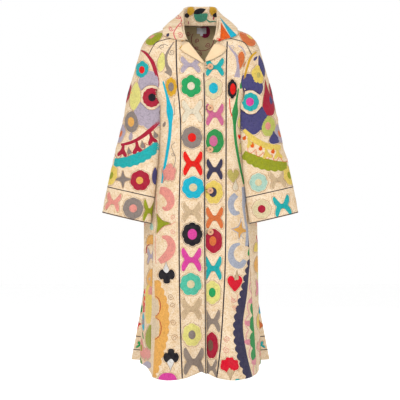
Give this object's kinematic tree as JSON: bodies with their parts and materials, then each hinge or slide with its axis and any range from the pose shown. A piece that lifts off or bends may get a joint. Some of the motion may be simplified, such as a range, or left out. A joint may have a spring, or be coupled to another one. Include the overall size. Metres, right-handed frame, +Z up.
{
  "type": "embroidered coat",
  "caption": "Long hollow coat with a standing notched collar, trumpet sleeves, flared gores, looped wooden buttons and allover suzani embroidery.",
  "frame": {"origin": "midway between the shoulders at the height of the shoulder ridge beside the neck, where the wearer holds the coat up", "axes": "+Z up, the front faces -Y, and the wearer's left side is at +X"},
  "size_m": [0.6494, 0.4495, 1.2457],
  "materials": {
    "front_right": "cream cotton, chain stitched all over",
    "front_left": "cream cotton, chain stitched all over",
    "side_right": "cream cotton, chain stitched all over",
    "side_left": "cream cotton, chain stitched all over",
    "back": "cream cotton, chain stitched all over",
    "sleeve_right": "cream cotton, chain stitched all over",
    "sleeve_left": "cream cotton, chain stitched all over",
    "collar": "cream cotton, chain stitched all over",
    "lapel_right": "plain cream cotton",
    "lapel_left": "plain cream cotton",
    "label": "white woven tape, bare",
    "button_1": "pale turned wood, satin",
    "button_loop_1": "dark twisted thread",
    "button_2": "pale turned wood, satin",
    "button_loop_2": "dark twisted thread",
    "button_3": "pale turned wood, satin",
    "button_loop_3": "dark twisted thread",
    "button_4": "pale turned wood, satin",
    "button_loop_4": "dark twisted thread",
    "button_5": "pale turned wood, satin",
    "button_loop_5": "dark twisted thread"
  },
  "bodies": {
    "root": {"front_right": "front_right", "front_left": "front_left", "side_right": "side_right", "side_left": "side_left", "back": "back", "sleeve_right": "sleeve_right", "sleeve_left": "sleeve_left", "collar": "collar", "lapel_right": "lapel_right", "lapel_left": "lapel_left", "label": "label", "button_1": "button_1", "button_loop_1": "button_loop_1", "button_2": "button_2", "button_loop_2": "button_loop_2", "button_3": "button_3", "button_loop_3": "button_loop_3", "button_4": "button_4", "button_loop_4": "button_loop_4", "button_5": "button_5", "button_loop_5": "button_loop_5"}
  },
  "joints": []
}
